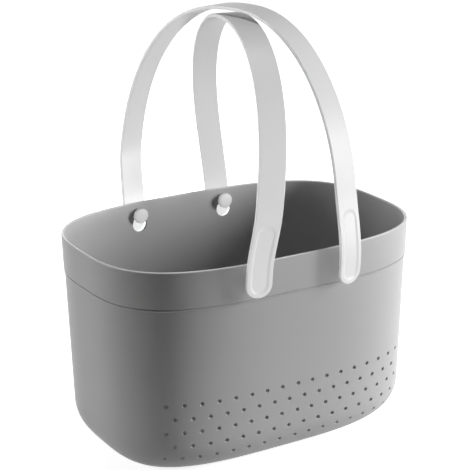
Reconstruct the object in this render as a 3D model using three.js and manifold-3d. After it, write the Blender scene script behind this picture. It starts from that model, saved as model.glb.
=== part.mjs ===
// Shower basket: a moulded oval tub with drain holes, and two strap handles that cross above its mouth.
// Each strap runs from a stud in one long wall to a stud in the other, on a diagonal.
// Millimetres, +Z up, X along the tub, origin on the floor under the tub's middle.
import * as THREE from 'three';
import { mergeGeometries, mergeVertices } from 'three/addons/utils/BufferGeometryUtils.js';
import Module from 'manifold-3d';

const wasm = await Module();
wasm.setup();

// Tub
const tubLength = 290;
const tubWidth = 197;
const tubHeight = 182;
const wall = 1.7; // below the collar
const baseRadius = 33; // round between wall and floor, on the outside
const endDraft = 0.031; // how much the ends lean in for each millimetre down
const sideDraft = 0.05;
const rimSquareness = 3.1; // power of the superellipse seen from above
const baseSquareness = 3.3;
const bandHeight = 31; // the collar below the rim
const bandStep = 0.7; // how far the collar stands proud of the wall below it

// Drain holes in both long walls
const holeDiameter = 3.2;
const holeSpacing = 14.5;
const holeRows = 5;
const holeRowPitch = 12.1;
const topRowHeight = 68;
const longRowHoles = 17; // every other row has one hole less
const holeShift = 2; // how far the pattern lies right of the tub's middle

// Drain holes in the floor
const floorHoleDiameter = 5;
const floorHoleSpacing = 22;
const floorHoleColumns = 7;
const floorHoleRows = 3;

// Studs and the keyholes that they hang in
const studSpacing = 86;
const studDrop = 11.5; // from the rim down to the studs
const slotPlay = 2.5; // how far a stud can ride up its slot
const neckDiameter = 5;
const neckClearance = 0.4; // between neck and slot, so that a handle can rock
const headDiameter = 13.4;
const headThickness = 4;
const headEdge = 2.4; // straight side of the head below its dome
const headPlay = 1.4; // between head and wall
const entryClearance = 0.2; // between head and the round part of the keyhole
const entryDrop = 8.5; // from the stud to the middle of the round part

// Strap handles
const strapWidth = 22;
const strapThickness = 3;
const strapEdge = 0.6; // bevel along the strap's edges
const strapStandoff = 6.7; // from wall to strap at the stud
const strapTip = 17.8; // from stud to the strap's end
const bowRise = 47; // height above the rim at which a leg bows out most
const legLean = 0.08; // how much a leg leans out for each millimetre up, at its stud
const archPower = 2.25;
const archForward = 5.3; // how far the arch's top lies in front of the tub's middle
const diagonalPull = 0.42; // 0 spreads the sideways run evenly, more gathers it near the top
const topTwist = THREE.MathUtils.degToRad(12.5); // how far a strap turns towards its diagonal
const studTwist = THREE.MathUtils.degToRad(8); // what is left of it at the studs
const twistPower = 4; // how close to the studs the rest is lost
const upperRise = 182.1; // top of the upper strap above the rim
const upperSway = 3.7; // how far its top hangs over to the right
const upperRearBow = 12.4; // how far its rear leg bows out past its stud
const upperFrontBow = -3.3;
const upperFrontDrop = 2; // how far its front stud hangs below its rear one
const lowerRise = 174.8;
const lowerSway = -2.8;
const lowerRearBow = 3.3;
const lowerFrontBow = 10;
const recessLength = 57;
const recessWidth = 13; // of its floor
const recessDepth = 0.8;
const recessSlope = 1.9;
const recessFromTip = 4.4;

// Fineness of the mesh
const tubPoints = 64;
const baseSteps = 5;
const lipSteps = 4;
const roundSides = 6;
const studSides = 20;
const studDomeSteps = 4;
const courseSteps = 60;
const strapStep = 11;
const strapRoundSteps = 5;
const closestRings = 0.25;
const keyholeArcSteps = 8;
const outlineStep = THREE.MathUtils.degToRad(0.1);
const nudge = 0.5; // distance over which a direction is measured
const seatGap = 0.3; // between stud and strap

const studHeight = tubHeight - studDrop;
const bandFoot = tubHeight - bandHeight;
const collarWall = wall + bandStep;
const slotRadius = neckDiameter / 2 + neckClearance;
const entryRadius = headDiameter / 2 + entryClearance;
const cutDepth = 6 * collarWall;

const greyPlastic = new THREE.MeshStandardMaterial({ color: 0x8f8f8f, roughness: 0.5, metalness: 0 });
const whitePlastic = new THREE.MeshStandardMaterial({ color: 0xeeeeee, roughness: 0.4, metalness: 0 });

// A skin through rings of points, closed at both ends by a fan, with its faces pointing out
function loft(rings) {
  const count = rings[0].length;
  const points = rings.flat();
  const triangles = [];
  for (let ring = 0; ring + 1 < rings.length; ring++) {
    for (let i = 0; i < count; i++) {
      const a = ring * count + i;
      const b = ring * count + ((i + 1) % count);
      triangles.push(a, b, b + count, a, b + count, a + count);
    }
  }
  for (const [first, ring] of [[0, rings[0]], [points.length - count, rings.at(-1)]]) {
    const middle = points.length;
    points.push(ring.reduce((sum, p) => sum.add(p), new THREE.Vector3()).divideScalar(count));
    for (let i = 0; i < count; i++) {
      const edge = [first + i, first + ((i + 1) % count)];
      triangles.push(middle, ...(first === 0 ? edge.reverse() : edge));
    }
  }
  const volume = triangles.reduce((sum, _, i) => {
    if (i % 3) return sum;
    const [p, q, r] = [0, 1, 2].map((k) => points[triangles[i + k]]);
    return sum + p.dot(new THREE.Vector3().crossVectors(q, r));
  }, 0);
  const geometry = new THREE.BufferGeometry().setFromPoints(points);
  geometry.setIndex(volume > 0 ? triangles : triangles.reverse());
  return geometry;
}

function toSolid(geometry) {
  const bare = geometry.clone();
  bare.deleteAttribute('normal');
  bare.deleteAttribute('uv');
  const merged = mergeVertices(bare, 1e-5);
  const mesh = new wasm.Mesh({
    numProp: 3,
    vertProperties: new Float32Array(merged.attributes.position.array),
    triVerts: new Uint32Array(merged.index.array),
  });
  return new wasm.Manifold(mesh);
}

function cutFrom(geometry, cutters) {
  const solid = toSolid(geometry).subtract(toSolid(mergeGeometries(cutters)));
  const { vertProperties, triVerts } = solid.getMesh();
  const result = new THREE.BufferGeometry();
  result.setAttribute('position', new THREE.BufferAttribute(vertProperties, 3));
  result.setIndex(new THREE.BufferAttribute(triVerts, 1));
  return result;
}

function addPiece(parent, name, geometry, material) {
  geometry.computeVertexNormals();
  const mesh = new THREE.Mesh(geometry, material);
  mesh.name = name;
  parent.add(mesh);
}

// The tub's outline at a height, drawn in by an inset
function tubSection(z, inset) {
  const depth = tubHeight - z;
  return {
    halfLength: tubLength / 2 - endDraft * depth - inset,
    halfWidth: tubWidth / 2 - sideDraft * depth - inset,
    power: THREE.MathUtils.lerp(rimSquareness, baseSquareness, depth / tubHeight),
  };
}

function outlinePoint({ halfLength, halfWidth, power }, angle) {
  const bend = (value) => Math.sign(value) * Math.abs(value) ** (2 / power);
  return new THREE.Vector2(halfLength * bend(Math.cos(angle)), halfWidth * bend(Math.sin(angle)));
}

function wallFace(x, z) {
  const { halfLength, halfWidth, power } = tubSection(z, 0);
  return halfWidth * (1 - Math.abs(x / halfLength) ** power) ** (1 / power);
}

// How far the outer face is drawn in below the collar, round the foot included
function outerInset(z) {
  const rise = Math.max(0, baseRadius - z);
  return bandStep + baseRadius - Math.sqrt(baseRadius ** 2 - rise ** 2);
}

function tubShell() {
  const levels = [];
  for (let i = 0; i <= baseSteps; i++) {
    const z = baseRadius * (1 - Math.cos((i / baseSteps) * (Math.PI / 2)));
    levels.push([z, outerInset(z)]);
  }
  levels.push([bandFoot - bandStep, bandStep], [bandFoot, 0]);
  const lip = collarWall / 2;
  for (let i = 0; i <= lipSteps; i++) {
    const turn = (i / lipSteps) * Math.PI;
    levels.push([tubHeight - lip + lip * Math.sin(turn), lip - lip * Math.cos(turn)]);
  }
  const innerRadius = baseRadius - wall;
  for (let i = baseSteps; i >= 0; i--) {
    const turn = (i / baseSteps) * (Math.PI / 2);
    const inset = bandStep + baseRadius - innerRadius * Math.sin(turn);
    levels.push([baseRadius - innerRadius * Math.cos(turn), inset]);
  }
  return loft(levels.map(([z, inset]) => {
    const section = tubSection(z, inset);
    return Array.from({ length: tubPoints }, (_, i) => {
      const { x, y } = outlinePoint(section, (i / tubPoints) * 2 * Math.PI);
      return new THREE.Vector3(x, y, z);
    });
  }));
}

// A point on the front wall, measured along the wall from its middle
function alongFront(section, distance) {
  const step = Math.sign(distance) * outlineStep;
  let angle = -Math.PI / 2;
  let from = outlinePoint(section, angle);
  let left = Math.abs(distance);
  for (;;) {
    angle += step;
    const to = outlinePoint(section, angle);
    const length = from.distanceTo(to);
    if (step === 0) return from;
    if (length >= left) return from.lerp(to, left / length);
    left -= length;
    from = to;
  }
}

function drill(diameter) {
  return new THREE.CylinderGeometry(diameter / 2, diameter / 2, cutDepth, roundSides).toNonIndexed();
}

function wallHoles() {
  const cutters = [];
  for (let row = 0; row < holeRows; row++) {
    const z = topRowHeight - row * holeRowPitch;
    const section = tubSection(z, outerInset(z));
    const count = longRowHoles - (row % 2);
    for (let i = 0; i < count; i++) {
      const place = (i - (count - 1) / 2) * holeSpacing + holeShift;
      const { x, y } = alongFront(section, place);
      const ahead = alongFront(section, place + nudge);
      for (const side of [1, -1]) {
        const cutter = drill(holeDiameter);
        cutter.rotateZ(side * Math.atan2(ahead.y - y, ahead.x - x));
        cutters.push(cutter.translate(x, side * y, z));
      }
    }
  }
  return cutters;
}

function floorHoles() {
  const cutters = [];
  for (let column = 0; column < floorHoleColumns; column++) {
    for (let row = 0; row < floorHoleRows; row++) {
      const x = (column - (floorHoleColumns - 1) / 2) * floorHoleSpacing;
      const y = (row - (floorHoleRows - 1) / 2) * floorHoleSpacing;
      cutters.push(drill(floorHoleDiameter).rotateX(Math.PI / 2).translate(x, y, wall / 2));
    }
  }
  return cutters;
}

// A slot for the stud's neck that opens below into a round hole for its head
function keyhole(x, side) {
  const meet = Math.acos(slotRadius / entryRadius);
  const shape = new THREE.Shape();
  shape.absarc(0, slotPlay, slotRadius, 0, Math.PI, false);
  shape.absarc(0, -entryDrop, entryRadius, Math.PI - meet, 2 * Math.PI + meet, false);
  const settings = { depth: cutDepth, bevelEnabled: false, curveSegments: keyholeArcSteps };
  const cutter = new THREE.ExtrudeGeometry(shape, settings);
  cutter.translate(0, 0, -cutDepth / 2).rotateX(Math.PI / 2);
  return cutter.translate(x, side * (wallFace(x, studHeight) - collarWall / 2), studHeight);
}

function tub() {
  const keyholes = [];
  for (const x of [-studSpacing / 2, studSpacing / 2]) {
    keyholes.push(keyhole(x, -1), keyhole(x, 1));
  }
  return cutFrom(tubShell(), [...wallHoles(), ...floorHoles(), ...keyholes]);
}

// One end of a strap seen from the side, from its top down to its tip, with lengths along it.
// end is 1 at the rear and -1 at the front.
function halfCourse({ rise }, { bow, lift }, end) {
  const studZ = studHeight + lift;
  const wallOut = wallFace(studSpacing / 2, studZ) + end * archForward;
  const studOut = wallOut + strapStandoff + strapThickness / 2;
  const bowZ = tubHeight + bowRise;
  const side = [];
  for (let i = 0; i <= courseSteps; i++) {
    const turn = (i / courseSteps) * (Math.PI / 2);
    const out = (studOut + bow) * Math.sin(turn) ** (2 / archPower);
    side.push(new THREE.Vector2(out, bowZ + (rise - bowRise) * Math.cos(turn) ** (2 / archPower)));
  }
  for (let i = 1; i <= courseSteps; i++) {
    const down = i / courseSteps;
    const ease = down ** 2 * (3 - 2 * down);
    const lean = legLean * (bowZ - studZ) * down ** 2 * (1 - down);
    const out = studOut + bow * (1 - ease) + lean;
    side.push(new THREE.Vector2(out, THREE.MathUtils.lerp(bowZ, studZ, down)));
  }
  const lengths = [0];
  for (let i = 1; i < side.length; i++) {
    lengths.push(lengths[i - 1] + side[i].distanceTo(side[i - 1]));
  }
  const studLength = lengths.at(-1);
  const tip = new THREE.Vector2(-legLean, -1).setLength(strapTip);
  side.push(side.at(-1).clone().add(tip));
  lengths.push(studLength + strapTip);
  return { side, lengths, studLength, endLength: studLength + strapTip };
}

// A strap's course, measured from its top, positive to the rear: the place and the frame (along, face,
// across) at a distance. hand is -1 where the rear end is on the left, 1 where it is on the right.
function strapCourse(handle) {
  const ends = { 1: halfCourse(handle, handle.rear, 1), [-1]: halfCourse(handle, handle.front, -1) };

  function place(distance) {
    const end = distance < 0 ? -1 : 1;
    const along = Math.abs(distance);
    const { side, lengths, studLength } = ends[end];
    const past = lengths.findIndex((length, i) => i > 0 && length >= along);
    const i = past === -1 ? lengths.length - 1 : past;
    const share = (along - lengths[i - 1]) / (lengths[i] - lengths[i - 1]);
    const { x: out, y: z } = side[i - 1].clone().lerp(side[i], share);
    const run = along / studLength;
    const above = run <= 1;
    const sweep = above
      ? (1 + diagonalPull) * run - diagonalPull * run ** 3
      : 1 + (1 - 2 * diagonalPull) * (run - 1);
    const sway = handle.sway * (above ? 1 - run ** 2 : 2 - 2 * run);
    const x = (handle.hand * end * sweep * studSpacing) / 2 + sway;
    return new THREE.Vector3(x, end * out - archForward, z);
  }

  function frame(distance) {
    const along = place(distance + nudge).sub(place(distance - nudge)).normalize();
    const out = new THREE.Vector2(-along.z, along.y).normalize();
    const end = distance < 0 ? -1 : 1;
    const run = Math.min(1, Math.abs(distance) / ends[end].studLength);
    const twist = THREE.MathUtils.lerp(topTwist, studTwist, run ** twistPower);
    const face = new THREE.Vector3(handle.hand * Math.sin(twist) * out.x, Math.cos(twist) * out.x, out.y);
    face.addScaledVector(along, -face.dot(along)).normalize();
    const across = new THREE.Vector3().crossVectors(face, along);
    return { at: place(distance), along, face, across };
  }
  return { ends, frame };
}

// Half width of a round-ended slot of a given half width, at a distance from its end
function roundEnd(distance, half) {
  return distance >= half ? half : Math.sqrt(half ** 2 - (half - distance) ** 2);
}

function strapRing({ at, face, across }, fromTip) {
  const half = roundEnd(fromTip, strapWidth / 2);
  const edge = Math.min(strapEdge, half / 3);
  const deep = strapThickness / 2;
  const intoRecess = Math.min(fromTip - recessFromTip, recessFromTip + recessLength - fromTip);
  const slope = Math.min(recessSlope, half / 4);
  const floorHalf = intoRecess > 0 ? roundEnd(intoRecess, recessWidth / 2) : half / 4;
  const floor = intoRecess > 0 ? deep - recessDepth : deep;
  return [
    [-half + edge, -deep], [half - edge, -deep], [half, -deep + edge], [half, deep - edge],
    [half - edge, deep], [floorHalf + slope, deep], [floorHalf, floor],
    [-floorHalf, floor], [-floorHalf - slope, deep], [-half + edge, deep],
    [-half, deep - edge], [-half, -deep + edge],
  ].map(([w, n]) => at.clone().addScaledVector(across, w).addScaledVector(face, n));
}

// Distances from a strap's tip to its rings, up to its top
function ringPlaces(endLength) {
  const fromTips = [recessFromTip, recessFromTip + recessLength];
  for (let i = 1; i <= strapRoundSteps; i++) {
    const turn = 1 - Math.cos((i / strapRoundSteps) * (Math.PI / 2));
    fromTips.push((turn * strapWidth) / 2);
    fromTips.push(recessFromTip + (turn * recessWidth) / 2);
    fromTips.push(recessFromTip + recessLength - (turn * recessWidth) / 2);
  }
  const plainFrom = recessFromTip + recessWidth / 2;
  const steps = Math.ceil((endLength - plainFrom) / strapStep);
  for (let i = 1; i <= steps; i++) {
    fromTips.push(THREE.MathUtils.lerp(plainFrom, endLength, i / steps));
  }
  fromTips.sort((a, b) => a - b);
  return fromTips.filter((fromTip, i) => i === 0 || fromTip - fromTips[i - 1] > closestRings);
}

function strap({ ends, frame }) {
  const rings = (end) => {
    const { endLength } = ends[end];
    return ringPlaces(endLength).map((fromTip) => strapRing(frame(end * (endLength - fromTip)), fromTip));
  };
  return loft([...rings(1), ...rings(-1).reverse().slice(1)]);
}

// A mushroom stud: its neck stands on the strap and passes through the wall to a domed head
function stud(course, end) {
  const { at, along, face, across } = course.frame(end * course.ends[end].studLength);
  const headFrom = strapThickness / 2 + strapStandoff + collarWall + headPlay;
  const profile = [new THREE.Vector2(0, 0), new THREE.Vector2(neckDiameter / 2, 0)];
  profile.push(new THREE.Vector2(neckDiameter / 2, headFrom));
  profile.push(new THREE.Vector2(headDiameter / 2, headFrom));
  for (let i = 0; i <= studDomeSteps; i++) {
    const turn = (i / studDomeSteps) * (Math.PI / 2);
    const dome = headFrom + headEdge + (headThickness - headEdge) * Math.sin(turn);
    profile.push(new THREE.Vector2((headDiameter / 2) * Math.cos(turn), dome));
  }
  profile.at(-1).x = 0;
  const body = new THREE.LatheGeometry(profile, studSides);
  body.rotateZ(end > 0 ? Math.PI : 0).translate(at.x, at.y, at.z);
  const blockSize = 4 * strapWidth; // all that lies behind the strap's inner face
  const block = new THREE.BoxGeometry(blockSize, blockSize, blockSize);
  const seat = at.clone().addScaledVector(face, blockSize / 2 - strapThickness / 2 - seatGap);
  block.applyMatrix4(new THREE.Matrix4().makeBasis(along, across, face).setPosition(seat));
  return cutFrom(body, [block]);
}

const handles = [
  {
    name: 'upper',
    hand: -1,
    rise: upperRise,
    sway: upperSway,
    rear: { bow: upperRearBow, lift: 0 },
    front: { bow: upperFrontBow, lift: -upperFrontDrop },
  },
  {
    name: 'lower',
    hand: 1,
    rise: lowerRise,
    sway: lowerSway,
    rear: { bow: lowerRearBow, lift: 0 },
    front: { bow: lowerFrontBow, lift: slotPlay },
  },
];

const basket = new THREE.Group();
addPiece(basket, 'tub', tub(), greyPlastic);
for (const handle of handles) {
  const course = strapCourse(handle);
  const pieces = new THREE.Group();
  addPiece(pieces, `${handle.name}_strap`, strap(course), whitePlastic);
  addPiece(pieces, `${handle.name}_rear_stud`, stud(course, 1), whitePlastic);
  addPiece(pieces, `${handle.name}_front_stud`, stud(course, -1), whitePlastic);
  basket.add(pieces);
}

export default basket;
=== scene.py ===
import math

import bmesh
import bpy
from mathutils import Matrix, Vector


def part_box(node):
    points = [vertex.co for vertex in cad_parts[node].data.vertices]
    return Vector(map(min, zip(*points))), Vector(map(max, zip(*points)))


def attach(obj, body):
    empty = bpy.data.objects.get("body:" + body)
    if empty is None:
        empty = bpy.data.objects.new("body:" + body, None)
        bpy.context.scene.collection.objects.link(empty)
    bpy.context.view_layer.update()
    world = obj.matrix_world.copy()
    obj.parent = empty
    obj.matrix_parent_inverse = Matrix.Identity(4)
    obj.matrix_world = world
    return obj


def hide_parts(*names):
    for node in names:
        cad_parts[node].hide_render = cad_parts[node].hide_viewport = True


# Shower basket: a grey moulded tub with drain holes and two white strap handles that cross above it.
# Shapes are worked out in millimetres in the frame's own axes, and turned to metres when a mesh is made.

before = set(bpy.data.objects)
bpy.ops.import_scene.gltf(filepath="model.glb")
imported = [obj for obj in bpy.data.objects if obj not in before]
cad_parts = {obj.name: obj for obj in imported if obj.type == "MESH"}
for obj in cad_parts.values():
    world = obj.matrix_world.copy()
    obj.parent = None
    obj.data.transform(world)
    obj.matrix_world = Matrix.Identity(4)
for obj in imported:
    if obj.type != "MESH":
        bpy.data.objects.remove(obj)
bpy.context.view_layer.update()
scene = bpy.context.scene
mm = 0.001
quarterTurn = math.pi / 2
print("frame loaded:", ", ".join(sorted(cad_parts)))


def hexColour(code):  # sRGB hex to the linear colour that shaders take
    shares = [int(code[i:i + 2], 16) / 255 for i in (1, 3, 5)]
    linear = [s / 12.92 if s <= 0.04045 else ((s + 0.055) / 1.055) ** 2.4 for s in shares]
    return (*linear, 1)


def addNode(tree, kind, settings=None, links=None):  # a node with its settings and what feeds it
    node = tree.nodes.new(kind)
    for name, value in (settings or {}).items():
        if name in node.inputs:
            node.inputs[name].default_value = value
        else:
            setattr(node, name, value)
    for name, source in (links or {}).items():
        tree.links.new(source, node.inputs[name])
    return node


def perMetre(size):  # noise scale for a pattern of that size in millimetres
    return 1 / (size * mm)


def smoothStep(value):
    share = min(1, max(0, value))
    return share * share * (3 - 2 * share)


def mix(low, high, share):
    return low + (high - low) * share


# Camera: the photograph's place and lens, found from the rim, the collar line and the silhouette
cameraSet = {
    "aim": (-1.43, 0.23, 170.67), "azimuth": -30.88, "elevation": 18.2, "distance": 1292.6,
    "roll": 0.475, "lens": 117.1, "sensor": 36, "clip": (0.05, 50),
}


def makeCamera(spec):
    azimuth, elevation, roll = (math.radians(spec[k]) for k in ("azimuth", "elevation", "roll"))
    back = Vector((math.sin(azimuth) * math.cos(elevation), -math.cos(azimuth) * math.cos(elevation),
                   math.sin(elevation)))
    right = (-back).cross(Vector((0, 0, 1))).normalized()
    up = back.cross(right)
    turned = Matrix.Rotation(-roll, 3, back) @ Matrix((right, up, back)).transposed()
    data = bpy.data.cameras.new("camera")
    data.lens = spec["lens"]
    data.sensor_width = spec["sensor"]
    data.clip_start, data.clip_end = spec["clip"]
    camera = bpy.data.objects.new("camera", data)
    place = (Vector(spec["aim"]) + back * spec["distance"]) * mm
    camera.matrix_world = Matrix.Translation(place) @ turned.to_4x4()
    scene.collection.objects.link(camera)
    scene.camera = camera


makeCamera(cameraSet)
print("camera set")

# Materials

greyPlastic = {  # the tub: satin from a lightly grained mould, with broad soft highlights
    "colour": "#a9a9a9", "paleColour": "#adadad", "roughness": 0.46, "roughnessSpread": 0.05, "ior": 1.49,
    "flowSize": 60, "grainSize": 0.9, "grainHeight": 0.006,
}
whitePlastic = {  # the straps: smoother, with a little more shine
    "colour": "#dfdfdf", "paleColour": "#e3e3e3", "roughness": 0.4, "roughnessSpread": 0.05, "ior": 1.49,
    "flowSize": 40, "grainSize": 1.2, "grainHeight": 0.003,
}
# The studs are the straps' white plastic, drawn a shade darker than the straps: painted shade for the heads
# that sit in the tub's shade.
stippledShadedPlastic = {  # the studs: a coarser stipple that breaks up the light
    "colour": "#d6d6d6", "paleColour": "#dcdcdc", "roughness": 0.5, "roughnessSpread": 0.08, "ior": 1.49,
    "flowSize": 3, "grainSize": 1.1, "grainHeight": 0.05,
}


# Injection-moulded polypropylene: satin, with a fine grain and faint clouds where it flowed.
# The grain is drawn coarser than the real one, so that it shows at all.
def mouldedPlastic(name, spec):
    material = bpy.data.materials.new(name)
    material.use_nodes = True
    tree = material.node_tree
    tree.nodes.clear()
    place = addNode(tree, "ShaderNodeNewGeometry").outputs["Position"]
    flow = addNode(tree, "ShaderNodeTexNoise", {"Scale": perMetre(spec["flowSize"]), "Detail": 3},
                   {"Vector": place}).outputs["Fac"]
    grain = addNode(tree, "ShaderNodeTexNoise", {"Scale": perMetre(spec["grainSize"]), "Detail": 2},
                    {"Vector": place}).outputs["Fac"]
    colour = addNode(tree, "ShaderNodeMix", {
        "data_type": "RGBA", "A": hexColour(spec["colour"]), "B": hexColour(spec["paleColour"])},
        {"Factor": flow}).outputs["Result"]
    rough = addNode(tree, "ShaderNodeMapRange", {
        "To Min": spec["roughness"] - spec["roughnessSpread"],
        "To Max": spec["roughness"] + spec["roughnessSpread"]}, {"Value": flow}).outputs["Result"]
    bump = addNode(tree, "ShaderNodeBump", {"Strength": 1, "Distance": spec["grainHeight"] * mm},
                   {"Height": grain}).outputs["Normal"]
    shader = addNode(tree, "ShaderNodeBsdfPrincipled", {"IOR": spec["ior"]},
                     {"Base Color": colour, "Roughness": rough, "Normal": bump})
    addNode(tree, "ShaderNodeOutputMaterial", {}, {"Surface": shader.outputs["BSDF"]})
    return material


greyPolypropylene = mouldedPlastic("mouldedGreyPolypropylene", greyPlastic)
whitePolypropylene = mouldedPlastic("mouldedWhitePolypropylene", whitePlastic)
stippledShadedPolypropylene = mouldedPlastic("stippledShadedWhitePolypropylene", stippledShadedPlastic)
print("materials made")


def makePiece(name, mesh, material, body, node):  # a finished mesh in the frame, standing for a CAD node
    mesh.materials.clear()
    mesh.materials.append(material)
    for polygon in mesh.polygons:
        polygon.use_smooth = True
    piece = bpy.data.objects.new(name, mesh)
    scene.collection.objects.link(piece)
    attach(piece, body)
    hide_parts(node)
    return piece


def toMesh(name, bm):  # a mesh in metres from one in millimetres
    weld = 0.002  # millimetres
    bmesh.ops.remove_doubles(bm, verts=bm.verts, dist=weld)
    bmesh.ops.recalc_face_normals(bm, faces=bm.faces)
    bmesh.ops.scale(bm, vec=(mm, mm, mm), verts=bm.verts)
    mesh = bpy.data.meshes.new(name)
    bm.to_mesh(mesh)
    bm.free()
    return mesh


def addLoft(bm, rings):  # quads between rings of the same count, with a face over each end
    rows = [[bm.verts.new(p) for p in ring] for ring in rings]
    count = len(rows[0])
    for low, high in zip(rows, rows[1:]):
        for i in range(count):
            j = (i + 1) % count
            bm.faces.new((low[i], low[j], high[j], high[i]))
    bm.faces.new(rows[0])
    bm.faces.new(rows[-1])


# Tub

tubLow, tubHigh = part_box("tub")
tubSize = [(high - low) / mm for low, high in zip(tubLow, tubHigh)]
tubSpec = {
    "length": tubSize[0], "width": tubSize[1], "height": tubSize[2],
    "wall": 1.7, "baseRadius": 33, "endDraft": 0.031, "sideDraft": 0.05,
    "rimSquareness": 3.1, "baseSquareness": 3.3,
    "bandHeight": 31, "bandStep": 0.7, "bandEdge": 1.6,  # the collar, and the round under it
    "bead": 0.6, "beadDrop": 0.8, "beadRun": 2.4,  # a fine bead below the collar; its run is in bead heights
    "groove": 0.2, "grooveEdge": 0.15,  # between the bead and the collar
    "points": 256, "wallStep": 7, "roundSteps": 14, "lipSteps": 12, "edgeSteps": 5, "collarRows": 4,
    "sharpFrom": 32,  # degrees between faces
}
collarWall = tubSpec["wall"] + tubSpec["bandStep"]
drainSpec = {
    "diameter": 3, "chamfer": 0.45, "spacing": 14.5, "rows": 5, "rowPitch": 12.1, "topRow": 68, "perRow": 17,
    "shift": 2, "sides": 20, "outside": 0.8, "inside": 5,  # how far the cutter reaches out of the wall and in
}
floorDrainSpec = {"diameter": 4.4, "spacing": 22, "columns": 7, "rows": 3}
keyholeSpec = {
    "slotRadius": 2.9, "slotPlay": 2.5, "entryDrop": 8.5, "chamfer": 0.4, "past": 2, "arcSteps": 28,
    "rearEntry": 6.9, "frontEntry": 5.6,  # radius of the round part; the straps cover the front ones whole
}


def tubSection(z, inset):  # the tub's outline at a height: half length, half width, squareness
    depth = tubSpec["height"] - z
    return (tubSpec["length"] / 2 - tubSpec["endDraft"] * depth - inset,
            tubSpec["width"] / 2 - tubSpec["sideDraft"] * depth - inset,
            mix(tubSpec["rimSquareness"], tubSpec["baseSquareness"], depth / tubSpec["height"]))


def bend(value, power):  # a sine or cosine bent for an oval of that squareness
    return math.copysign(abs(value) ** (2 / power), value)


def outlinePoint(section, angle):
    halfLength, halfWidth, power = section
    return Vector((halfLength * bend(math.cos(angle), power), halfWidth * bend(math.sin(angle), power)))


def outlineLengths(section, start, stop, steps):  # angles, and the lengths along the outline up to them
    angles = [mix(start, stop, i / steps) for i in range(steps + 1)]
    points = [outlinePoint(section, a) for a in angles]
    lengths = [0]
    for a, b in zip(points, points[1:]):
        lengths.append(lengths[-1] + (b - a).length)
    return angles, lengths


def angleAt(angles, lengths, distance):  # the angle at a length along the outline
    for i in range(1, len(lengths)):
        if lengths[i] >= distance:
            share = (distance - lengths[i - 1]) / max(lengths[i] - lengths[i - 1], 1e-9)
            return mix(angles[i - 1], angles[i], share)
    return angles[-1]


def evenAngles(count):  # angles that space points evenly round the rim
    steps = 8 * count
    angles, lengths = outlineLengths(tubSection(tubSpec["height"], 0), 0, 4 * quarterTurn, steps)
    return [angleAt(angles, lengths, lengths[-1] * i / count) for i in range(count)]


def outerInset(z):  # how far the outside is drawn in at a height
    bandFoot = tubSpec["height"] - tubSpec["bandHeight"]
    if z >= bandFoot:
        return 0
    radius = tubSpec["baseRadius"]
    rise = max(0, radius - z)
    return tubSpec["bandStep"] + radius - math.sqrt(radius ** 2 - rise ** 2)


def tubLevels():  # heights and insets, from the outer floor over the rim to the inner floor
    s = tubSpec
    radius, inner, lip = s["baseRadius"], s["baseRadius"] - s["wall"], collarWall / 2
    bandFoot = s["height"] - s["bandHeight"]
    turns = [i / s["roundSteps"] * quarterTurn for i in range(s["roundSteps"] + 1)]
    levels = [(radius - radius * math.cos(t), s["bandStep"] + radius - radius * math.sin(t)) for t in turns]
    wallRows = max(1, round((bandFoot - radius) / s["wallStep"]))
    levels += [(mix(radius, bandFoot, i / wallRows), s["bandStep"]) for i in range(1, wallRows)]
    beadTop, beadIn, grooveIn = bandFoot - s["beadDrop"], s["bandStep"] - s["bead"], s["bandStep"] + s["groove"]
    levels += [(beadTop - s["beadRun"] * s["bead"], s["bandStep"]), (beadTop - s["bead"], beadIn),
               (beadTop, beadIn), (beadTop + s["bead"], grooveIn), (bandFoot - s["grooveEdge"], grooveIn)]
    for i in range(s["edgeSteps"] + 1):  # round under the collar
        turn = i / s["edgeSteps"] * quarterTurn
        levels.append((bandFoot + s["bandEdge"] * (1 - math.cos(turn)), s["bandStep"] * (1 - math.sin(turn))))
    collarRows, collarFrom, collarTo = s["collarRows"], bandFoot + s["bandEdge"], s["height"] - lip
    levels += [(mix(collarFrom, collarTo, i / collarRows), 0) for i in range(1, collarRows)]
    for i in range(s["lipSteps"] + 1):  # round over the rim
        turn = i / s["lipSteps"] * 2 * quarterTurn
        levels.append((s["height"] - lip + lip * math.sin(turn), lip - lip * math.cos(turn)))
    innerRows = wallRows + collarRows
    levels += [(mix(collarTo, radius, i / innerRows), collarWall) for i in range(1, innerRows)]
    levels += [(radius - inner * math.cos(t), s["bandStep"] + radius - inner * math.sin(t))
               for t in reversed(turns)]
    return levels


def surfaceFrame(z, angle, side):  # axes on the outside of the tub: sideways, up the wall, straight out
    def at(height, turn):
        point = outlinePoint(tubSection(height, outerInset(height)), turn)
        return Vector((point.x, point.y * side, height))
    reach = 0.02
    sideways = (at(z, angle + reach) - at(z, angle - reach)).normalized()
    up = (at(z + reach, angle) - at(z - reach, angle)).normalized()
    out = sideways.cross(up).normalized()
    place = at(z, angle)
    if out.dot(Vector((place.x, place.y, 0))) < 0:
        out = -out
    sideways = up.cross(out).normalized()
    return Matrix.Translation(place) @ Matrix((sideways, up, out)).transposed().to_4x4()


def addDrill(bm, place, diameter):  # a drain hole's bore, opening out at the wall's outside
    s = drainSpec
    radius, chamfer = diameter / 2, s["chamfer"]
    profile = [(s["outside"], radius + chamfer + s["outside"]), (-chamfer, radius), (-s["inside"], radius)]
    rings = []
    for height, reach in profile:
        turns = [i / s["sides"] * 4 * quarterTurn for i in range(s["sides"])]
        rings.append([place @ Vector((reach * math.cos(t), reach * math.sin(t), height)) for t in turns])
    addLoft(bm, rings)


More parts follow.
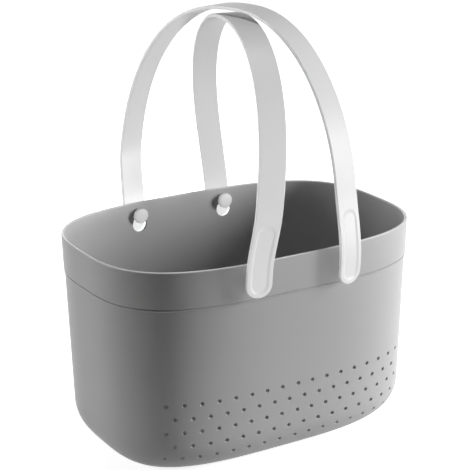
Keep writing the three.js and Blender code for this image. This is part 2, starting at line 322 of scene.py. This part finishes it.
def keyholeOutline(entryRadius, grow):  # a slot for the stud's neck over a round hole for its head
    s = keyholeSpec
    slot, entry, steps = s["slotRadius"] + grow, entryRadius + grow, s["arcSteps"]
    meet = math.acos(slot / entry)
    points = [(slot * math.cos(t), slot * math.sin(t) + s["slotPlay"]) for t in
              (i / (steps // 2) * 2 * quarterTurn for i in range(steps // 2 + 1))]
    for i in range(steps + 1):
        turn = mix(2 * quarterTurn - meet, 4 * quarterTurn + meet, i / steps)
        points.append((entry * math.cos(turn), entry * math.sin(turn) - s["entryDrop"]))
    return points


def addKeyhole(bm, x, z, side):  # cut through the collar, in the front wall where side is 1
    s = keyholeSpec
    section = tubSection(z, 0)
    angle = -math.acos((abs(x) / section[0]) ** (section[2] / 2))
    angle = angle if x > 0 else -2 * quarterTurn - angle
    place = surfaceFrame(z, angle, side)
    chamfer, past, entry = s["chamfer"], s["past"], s["frontEntry" if side > 0 else "rearEntry"]
    levels = [(past, chamfer + past), (-chamfer, 0),
              (chamfer - collarWall, 0), (-collarWall - past, chamfer + past)]
    addLoft(bm, [[place @ Vector((a, b, height)) for a, b in keyholeOutline(entry, grow)]
                 for height, grow in levels])


def cutPiece(mesh, cutterMesh):  # the mesh less the cutter, as a new mesh
    body, cutter = (bpy.data.objects.new(m.name, m) for m in (mesh, cutterMesh))
    for o in (body, cutter):
        scene.collection.objects.link(o)
    cut = body.modifiers.new("cut", "BOOLEAN")
    cut.object, cut.solver = cutter, "EXACT"
    bpy.context.view_layer.update()
    result = bpy.data.meshes.new_from_object(body.evaluated_get(bpy.context.evaluated_depsgraph_get()))
    for o in (body, cutter):
        bpy.data.objects.remove(o)
    return result


def makeTub():
    bm = bmesh.new()
    angles = evenAngles(tubSpec["points"])
    rings = []
    for z, inset in tubLevels():
        section = tubSection(z, inset)
        rings.append([outlinePoint(section, a).to_3d() + Vector((0, 0, z)) for a in angles])
    addLoft(bm, rings)
    shell = toMesh("tubShell", bm)

    cutters = bmesh.new()
    s, steps = drainSpec, 800
    for row in range(s["rows"]):  # drain holes in the walls, every other row set half a space along
        z = s["topRow"] - row * s["rowPitch"]
        angles, lengths = outlineLengths(tubSection(z, outerInset(z)), -2 * quarterTurn, 0, steps)
        count = s["perRow"] - row % 2
        for i in range(count):
            along = lengths[-1] / 2 + (i - (count - 1) / 2) * s["spacing"] + s["shift"]
            angle = angleAt(angles, lengths, along)
            for side in (1, -1):  # front and rear
                addDrill(cutters, surfaceFrame(z, angle, side), s["diameter"])
    f = floorDrainSpec
    faceDown = Matrix.Rotation(2 * quarterTurn, 4, "X")
    for column in range(f["columns"]):  # drain holes in the floor
        for row in range(f["rows"]):
            x, y = ((i - (n - 1) / 2) * f["spacing"] for i, n in ((column, f["columns"]), (row, f["rows"])))
            addDrill(cutters, Matrix.Translation((x, y, 0)) @ faceDown, f["diameter"])
    for name in ("upper_rear_stud", "lower_rear_stud"):  # a keyhole at each, and one straight across
        low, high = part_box(name)
        middle = (low + high) / 2 / mm
        for side in (1, -1):
            addKeyhole(cutters, middle.x, middle.z, side)
    mesh = cutPiece(shell, toMesh("tubCutters", cutters))
    piece = makePiece("tubShell", mesh, greyPolypropylene, "tub", "tub")
    mesh.set_sharp_from_angle(angle=math.radians(tubSpec["sharpFrom"]))
    return piece


tubPiece = makeTub()
print("tub made:", len(tubPiece.data.polygons), "faces")

# Straps

strapSpec = {
    "width": 22, "thickness": 3, "edge": 0.7, "standoff": 6.7, "tip": 17.8,
    "bowRise": 47, "legLean": 0.08, "archPower": 2.25, "archForward": 5.3, "pull": 0.42,
    "topTwist": 12.5, "studTwist": 8, "twistPower": 4,
    "recessLength": 59.6, "recessWidth": 16.4, "recessDepth": 0.8, "recessSlope": 2.4, "recessFromTip": 3,
    "courseSteps": 240, "step": 4, "fineStep": 1.2, "finePast": 4, "tipSteps": 14, "edgeSteps": 5,
    "slopeSteps": 7, "slopeOut": 0.4, "slopeIn": 0.2, "flatSteps": 4,  # mesh columns over the recess
}
handleSpecs = {  # hand is -1 where the rear end is on the left
    "upper": {"hand": -1, "sway": 3.7, "bow": {"rear": 12.4, "front": -3.3}},
    "lower": {"hand": 1, "sway": -2.8, "bow": {"rear": 3.3, "front": 10}},
}


class HalfCourse:  # one end of a strap seen from the side, from its top down to its tip, by length
    def __init__(self, handle, end):
        s = strapSpec
        low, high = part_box(f"{handle}_{end}_stud")
        stud = (low + high) / 2 / mm
        rim = tubSpec["height"]
        top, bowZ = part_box(handle + "_strap")[1].z / mm - s["thickness"] / 2, rim + s["bowRise"]
        bow = handleSpecs[handle]["bow"][end]
        self.way = 1 if end == "rear" else -1
        self.spread = abs(stud.x)
        section = tubSection(stud.z, 0)
        wallY = section[1] * (1 - (self.spread / section[0]) ** section[2]) ** (1 / section[2])
        studOut = wallY + s["standoff"] + s["thickness"] / 2 + self.way * s["archForward"]
        steps, power = s["courseSteps"], s["archPower"]
        self.side = []
        for i in range(steps + 1):  # the arch
            turn = i / steps * quarterTurn
            self.side.append(Vector(((studOut + bow) * bend(math.sin(turn), power),
                                     bowZ + (top - bowZ) * bend(max(0, math.cos(turn)), power))))
        for i in range(1, steps + 1):  # the leg below it
            down = i / steps
            lean = s["legLean"] * (bowZ - stud.z) * down ** 2 * (1 - down)
            self.side.append(Vector((studOut + bow * (1 - smoothStep(down)) + lean, mix(bowZ, stud.z, down))))
        self.lengths = [0]
        for a, b in zip(self.side, self.side[1:]):
            self.lengths.append(self.lengths[-1] + (b - a).length)
        self.studLength = self.lengths[-1]
        self.endLength = self.studLength + s["tip"]
        self.side.append(self.side[-1] + Vector((-s["legLean"], -1)).normalized() * s["tip"])
        self.lengths.append(self.endLength)

    def place(self, along):
        low, high = 0, len(self.lengths) - 1
        while high - low > 1:
            middle = (low + high) // 2
            low, high = (middle, high) if self.lengths[middle] < along else (low, middle)
        share = (along - self.lengths[low]) / (self.lengths[high] - self.lengths[low])
        return self.side[low].lerp(self.side[high], share)


class StrapCourse:  # a strap's course by length from its top, positive to the rear
    def __init__(self, handle):
        self.hand, self.sway = (handleSpecs[handle][k] for k in ("hand", "sway"))
        self.ends = {end: HalfCourse(handle, end) for end in ("rear", "front")}

    def end(self, distance):
        return self.ends["front" if distance < 0 else "rear"]

    def place(self, distance):
        end, pull = self.end(distance), strapSpec["pull"]
        out, z = end.place(abs(distance))
        run = abs(distance) / end.studLength
        if run <= 1:
            sweep, sway = (1 + pull) * run - pull * run ** 3, 1 - run ** 2
        else:
            sweep, sway = 1 + (1 - 2 * pull) * (run - 1), 2 - 2 * run
        x = self.hand * end.way * sweep * end.spread + self.sway * sway
        return Vector((x, end.way * out - strapSpec["archForward"], z))

    def axes(self, distance):
        s, nudge = strapSpec, 0.8
        along = (self.place(distance + nudge) - self.place(distance - nudge)).normalized()
        out = Vector((-along.z, along.y)).normalized()
        end = self.end(distance)
        run = min(1, abs(distance) / end.studLength)
        twist = math.radians(mix(s["topTwist"], s["studTwist"], run ** s["twistPower"]))
        face = Vector((self.hand * math.sin(twist) * out.x, math.cos(twist) * out.x, out.y))
        face = (face - along * face.dot(along)).normalized()
        return self.place(distance), along, face, face.cross(along)


def slotDepth(distance, across, half, start, length):  # how far a point lies inside a round-ended slot
    nearest = min(max(distance, start + half), start + length - half)
    return half - math.hypot(distance - nearest, across)


def strapColumns():  # shares of the half width, close together where the edge and the recess turn
    s = strapSpec
    half = s["width"] / 2
    turns = [i / s["edgeSteps"] * quarterTurn for i in range(s["edgeSteps"] + 1)]
    columns = [half - s["edge"] * (1 - math.cos(t)) for t in turns]
    lip, foot = s["recessWidth"] / 2 + s["slopeOut"], s["recessWidth"] / 2 - s["recessSlope"] - s["slopeIn"]
    flat, slope = s["flatSteps"], s["slopeSteps"]
    columns += [mix(columns[-1], lip, i / flat) for i in range(1, flat)]
    columns += [mix(lip, foot, i / slope) for i in range(slope + 1)]
    columns += [foot * (1 - i / flat) for i in range(1, flat + 1)]
    shares = [c / half for c in columns]
    return [-v for v in shares] + list(reversed(shares[:-1]))


def strapRows(endLength):  # lengths from a tip up to the top
    s = strapSpec
    half = s["width"] / 2
    rows = [half * (1 - math.cos(i / s["tipSteps"] * quarterTurn)) for i in range(s["tipSteps"] + 1)]
    fineTo = s["recessFromTip"] + s["recessLength"] + s["finePast"]
    fine = math.ceil((fineTo - half) / s["fineStep"])
    rows += [mix(half, fineTo, i / fine) for i in range(1, fine + 1)]
    plain = math.ceil((endLength - fineTo) / s["step"])
    return rows + [mix(fineTo, endLength, i / plain) for i in range(1, plain + 1)]


def makeStrap(handle, course):  # outer and inner faces with round edges, joined along both sides
    s = strapSpec
    bm = bmesh.new()
    half, deep, edge = s["width"] / 2, s["thickness"] / 2, s["edge"]
    frontEnd, rearEnd = (course.ends[end].endLength for end in ("front", "rear"))
    full = frontEnd + rearEnd
    columns = strapColumns()
    rows = strapRows(frontEnd) + [full - row for row in reversed(strapRows(rearEnd)[:-1])]
    faces = {1: [], -1: []}
    for row in rows:
        at, along, face, across = course.axes(row - frontEnd)
        fromTip = min(row, full - row)
        rowHalf = math.sqrt(half ** 2 - (half - fromTip) ** 2) if fromTip < half else half
        grid = {1: [], -1: []}
        for share in columns:
            v = share * rowHalf
            inside = max(0, slotDepth(row, v, half, 0, full))
            fall = edge - math.sqrt(edge ** 2 - (edge - min(inside, edge)) ** 2)
            inRecess = slotDepth(fromTip, v, s["recessWidth"] / 2, s["recessFromTip"], s["recessLength"])
            sunk = s["recessDepth"] * smoothStep(inRecess / s["recessSlope"])
            for way in (1, -1):  # outer face, inner face
                height = way * (deep - fall) - (sunk if way > 0 else 0)
                grid[way].append(bm.verts.new(at + across * v + face * height))
        for way in (1, -1):
            faces[way].append(grid[way])
    for grid in faces.values():
        for low, high in zip(grid, grid[1:]):
            for i in range(len(columns) - 1):
                bm.faces.new((low[i], low[i + 1], high[i + 1], high[i]))
    for side in (0, -1):
        for i in range(len(rows) - 1):
            top, bottom = faces[1], faces[-1]
            bm.faces.new((top[i][side], top[i + 1][side], bottom[i + 1][side], bottom[i][side]))
    mesh = toMesh(handle + "Strap", bm)
    return makePiece(handle + "Strap", mesh, whitePolypropylene, handle + "_handle", handle + "_strap")


# Studs

studSpec = {
    "neck": 5, "fillet": 0.6, "head": 13.4, "thickness": 4, "edge": 2.4, "headPlay": 1.4,
    "headRound": 0.4, "domePower": 0.7,  # a lower power gives a fuller dome
    "sides": 40, "domeSteps": 10, "filletSteps": 4, "sharpFrom": 40,
}


def makeStud(handle, end, course):  # a neck from the strap through the wall, and a domed head inside the tub
    s = studSpec
    half = course.ends[end]
    at, _, face, _ = course.axes(half.way * half.studLength)
    inward, sideways, upright = Vector((0, -half.way, 0)), Vector((1, 0, 0)), Vector((0, 0, 1))
    neck, head = s["neck"] / 2, s["head"] / 2
    underHead = strapSpec["thickness"] / 2 + strapSpec["standoff"] + collarWall + s["headPlay"]
    profile = [(underHead - s["fillet"] * (1 - math.sin(t)), neck + s["fillet"] * (1 - math.cos(t))) for t in
               (i / s["filletSteps"] * quarterTurn for i in range(s["filletSteps"] + 1))]
    curve = s["headRound"]  # under the head's edge
    profile += [(underHead + rise * curve, head - draw * curve) for rise, draw in ((0, 1), (0.3, 0.3), (1, 0))]
    dome = s["thickness"] - s["edge"]
    profile += [(underHead + s["edge"] + dome * math.sin(t), head * math.cos(t) ** s["domePower"]) for t in
                (i / s["domeSteps"] * quarterTurn for i in range(s["domeSteps"]))]
    turns = [i / s["sides"] * 4 * quarterTurn for i in range(s["sides"])]
    ring = [sideways * math.cos(t) + upright * math.sin(t) for t in turns]
    seat, foot = -strapSpec["thickness"] / 2, []
    for spoke in ring:  # the neck's foot lies on the strap's inner face
        point = at + spoke * neck
        foot.append(point + inward * ((seat - (point - at).dot(face)) / inward.dot(face)))
    bm = bmesh.new()
    addLoft(bm, [foot] + [[at + inward * height + spoke * radius for spoke in ring]
                          for height, radius in profile])
    name = handle + end.capitalize() + "Stud"
    mesh = toMesh(name, bm)
    piece = makePiece(name, mesh, stippledShadedPolypropylene, handle + "_handle", f"{handle}_{end}_stud")
    mesh.set_sharp_from_angle(angle=math.radians(s["sharpFrom"]))
    return piece


straps, rearStuds, frontStuds = [], [], []
for handle in handleSpecs:
    course = StrapCourse(handle)
    straps.append(makeStrap(handle, course))
    print(handle, "strap made:", len(straps[-1].data.polygons), "faces")
    rearStuds.append(makeStud(handle, "rear", course))
    frontStuds.append(makeStud(handle, "front", course))
print("studs made")

# Studio: a floor that shows white, soft lamps for the tub, and lamps of the handles' own.
# The handles are so much paler than the tub that one set of lamps can't show both as they look.

studio = {
    "floor": "#d8d8d8", "floorSize": 16, "floorDrop": 0.5, "fill": 0.015,
    "bounce": 0.45, "farBounce": 0.1, "bounceFrom": 0.15, "bounceTo": 0.45,  # grey that lights the object
    "glow": 0.84, "farGlow": 1, "glowFrom": 0.25, "glowTo": 0.9,  # white that shows; From and To are in metres
    "flagDrop": 3, "flagInset": 3.5, "flagPoints": 64,  # a card in the mouth, to shade the inside from above
    "aim": (0, 0, 0.2),
    # handles: left out or lit alone; passes: what casts no shadow; flagged: the card stops it
    "lights": [
        {"name": "keyLight", "from": (1.31, -0.83, 0.53), "size": 0.4, "height": 0.9, "power": 17,
         "handles": "EXCLUDE", "passes": "handles"},
        {"name": "keyShade", "from": (1.31, -0.83, 0.53), "size": 0.4, "height": 0.9, "power": 14,
         "handles": "EXCLUDE"},
        {"name": "leftLight", "from": (-1.33, 0.79, 0.45), "size": 0.35, "height": 0.8, "power": 9},
        {"name": "backLight", "from": (0.3, 1.55, 0.3), "size": 0.6, "height": 0.6, "power": 10},
        {"name": "topLight", "from": (0.14, 0, 1.79), "size": 0.35, "height": 0.35, "power": 16,
         "handles": "EXCLUDE", "flagged": True},
        {"name": "mouthLight", "from": (0.14, 0, 1.79), "size": 0.35, "height": 0.35, "power": 4,
         "handles": "EXCLUDE"},
        {"name": "handleLight", "from": (1.03, -1.23, 0.25), "size": 0.6, "height": 0.6, "power": 22,
         "handles": "INCLUDE", "passes": "tub"},
        {"name": "handleBoard", "from": (-1.5, -0.55, 0.15), "size": 0.8, "height": 0.8, "power": 15,
         "handles": "INCLUDE", "passes": "tub"},
        {"name": "handleTop", "from": (0.14, 0, 1.79), "size": 0.35, "height": 0.35, "power": 8,
         "handles": "INCLUDE"},
    ],
}


def seenRays(tree):  # 1 for rays from the camera, in reflections and through glass
    paths = addNode(tree, "ShaderNodeLightPath").outputs
    seen = paths["Is Camera Ray"]
    for kind in ("Is Glossy Ray", "Is Transmission Ray"):
        seen = addNode(tree, "ShaderNodeMath", {"operation": "MAXIMUM"}, {0: seen, 1: paths[kind]}).outputs[0]
    return seen


def makeFloor(spec):  # painted board: shows white with the object's shadow, and lights the object as grey
    material = bpy.data.materials.new("paintedWhiteFloor")
    material.use_nodes = True
    tree = material.node_tree
    tree.nodes.clear()
    place = addNode(tree, "ShaderNodeNewGeometry").outputs["Position"]
    away = addNode(tree, "ShaderNodeVectorMath", {"operation": "LENGTH"}, {0: place}).outputs["Value"]
    glow, bounce = (addNode(tree, "ShaderNodeMapRange", {
        "interpolation_type": "SMOOTHSTEP", "From Min": spec[k + "From"], "From Max": spec[k + "To"],
        "To Min": spec[k], "To Max": spec["far" + k.capitalize()]},
        {"Value": away}).outputs["Result"] for k in ("glow", "bounce"))
    paint = addNode(tree, "ShaderNodeBsdfDiffuse", {"Color": hexColour(spec["floor"])}).outputs[0]
    white = addNode(tree, "ShaderNodeEmission", {}, {"Strength": glow}).outputs[0]
    both = addNode(tree, "ShaderNodeAddShader", {}, {0: paint, 1: white}).outputs[0]
    grey = addNode(tree, "ShaderNodeBsdfDiffuse", {}, {"Color": bounce}).outputs[0]
    shown = addNode(tree, "ShaderNodeMixShader", {}, {0: seenRays(tree), 1: grey, 2: both}).outputs[0]
    addNode(tree, "ShaderNodeOutputMaterial", {}, {"Surface": shown})
    bm = bmesh.new()
    bmesh.ops.create_grid(bm, x_segments=1, y_segments=1, size=spec["floorSize"] / 2)
    mesh = bpy.data.meshes.new("floor")
    bm.to_mesh(mesh)
    bm.free()
    mesh.materials.append(material)
    floor = bpy.data.objects.new("floor", mesh)
    floor.location.z = -spec["floorDrop"] * mm
    scene.collection.objects.link(floor)


def makeBackground(spec):  # shows white, and lights the object with a faint fill
    world = bpy.data.worlds.new("studio")
    scene.world = world
    world.use_nodes = True
    tree = world.node_tree
    tree.nodes.clear()
    fill, white = (addNode(tree, "ShaderNodeBackground", {
        "Color": (1, 1, 1, 1), "Strength": strength}).outputs[0] for strength in (spec["fill"], 1))
    shown = addNode(tree, "ShaderNodeMixShader", {}, {0: seenRays(tree), 1: fill, 2: white}).outputs[0]
    addNode(tree, "ShaderNodeOutputWorld", {}, {"Surface": shown})


def makeFlag(spec):  # seen by the top light alone
    z = tubSpec["height"] - spec["flagDrop"]
    section = tubSection(z, spec["flagInset"])
    bm = bmesh.new()
    bm.faces.new([bm.verts.new(outlinePoint(section, a).to_3d() + Vector((0, 0, z)))
                  for a in evenAngles(spec["flagPoints"])])
    flag = bpy.data.objects.new("topLightFlag", toMesh("topLightFlag", bm))
    flag.visible_camera = flag.visible_diffuse = flag.visible_glossy = flag.visible_transmission = False
    scene.collection.objects.link(flag)
    return flag


def linkPieces(name, pieces, state):  # pieces that a lamp lights, leaves out or shines through
    chosen = bpy.data.collections.new(name)
    for piece in pieces:
        chosen.objects.link(piece)
    for link in chosen.collection_objects:
        link.light_linking.link_state = state
    return chosen


def makeLamp(light, aim, flag):  # a soft box turned to the aim
    data = bpy.data.lights.new(light["name"], "AREA")
    data.shape, data.size, data.size_y, data.energy = "ELLIPSE", light["size"], light["height"], light["power"]
    lamp = bpy.data.objects.new(light["name"], data)
    lamp.location = light["from"]
    lamp.rotation_mode = "QUATERNION"
    lamp.rotation_quaternion = (Vector(aim) - lamp.location).to_track_quat("-Z", "Y")
    scene.collection.objects.link(lamp)
    if "handles" in light:
        lamp.light_linking.receiver_collection = linkPieces(
            light["name"] + "Lights", straps + rearStuds + frontStuds, light["handles"])
    passed = {"handles": straps + frontStuds, "tub": [tubPiece], "": []}[light.get("passes", "")]
    if not light.get("flagged"):
        passed = passed + [flag]
    lamp.light_linking.blocker_collection = linkPieces(light["name"] + "Passes", passed, "EXCLUDE")


makeFloor(studio)
makeBackground(studio)
topLightFlag = makeFlag(studio)
for light in studio["lights"]:
    makeLamp(light, studio["aim"], topLightFlag)
scene.view_settings.view_transform = "Standard"
print("studio made")
